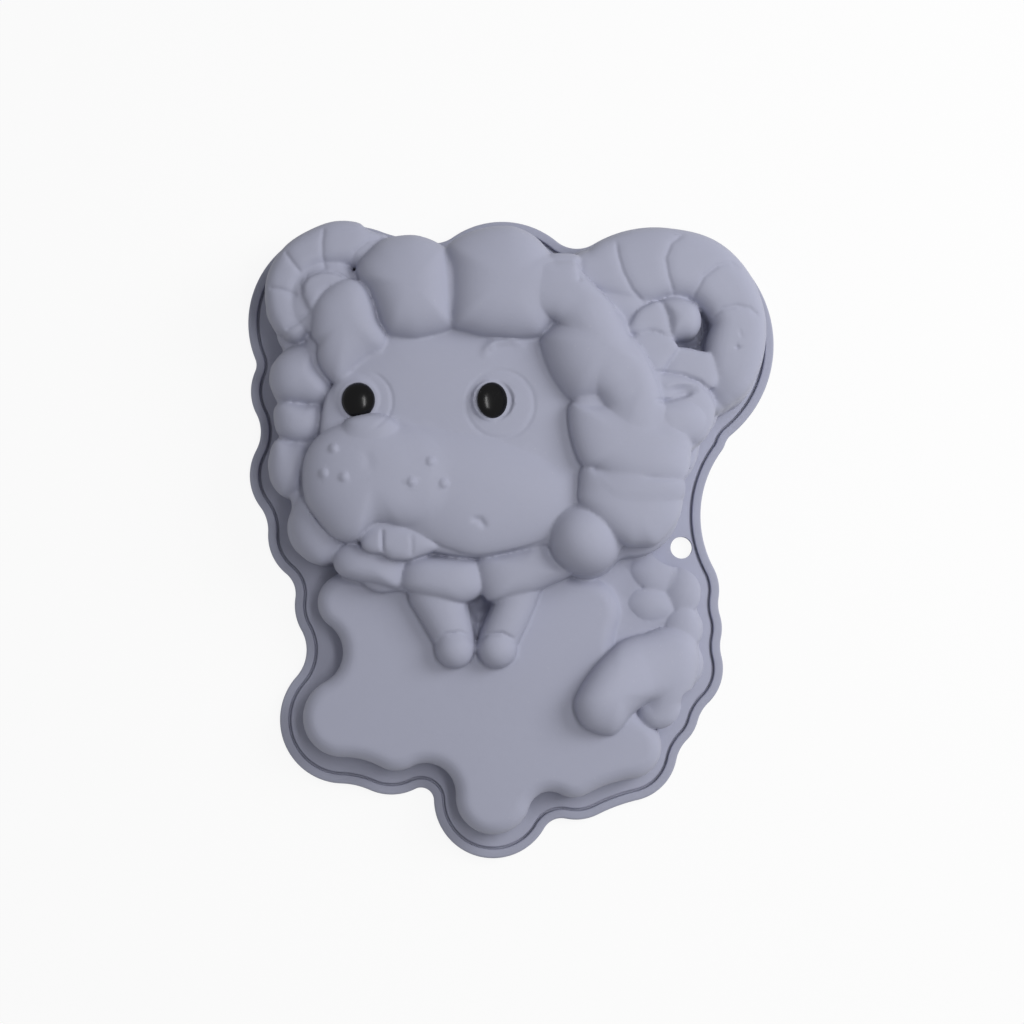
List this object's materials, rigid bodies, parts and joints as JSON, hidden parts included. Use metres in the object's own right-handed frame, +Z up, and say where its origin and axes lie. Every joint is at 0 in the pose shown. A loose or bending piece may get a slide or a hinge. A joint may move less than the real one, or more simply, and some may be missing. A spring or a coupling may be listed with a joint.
{
  "type": "silicone cake mould",
  "caption": "Silicone cake mould shaped as a horned ram over a star, with a stiff rim ring, glossy eye plugs and a hang hole.",
  "frame": {"origin": "centre of the bounding box at its bottom, which is the plane of the rim", "axes": "+Z up out of the relief with the mould lying mouth down, +Y towards the horns, +X to the side of the large horn"},
  "size_m": [0.2075, 0.2496, 0.048],
  "materials": {
    "silicone": "matte lavender grey silicone",
    "ring": "matte lavender grey",
    "eye": "glossy black"
  },
  "bodies": {
    "mould": {"mould_body": "silicone", "eye_left": "eye", "eye_right": "eye"},
    "ring": {"support_ring": "ring"}
  },
  "joints": [
    {"name": "ring_lift", "type": "slide", "parent": "mould", "child": "ring", "axis": [0, 0, 1], "range_m": [0, 0.055]}
  ]
}
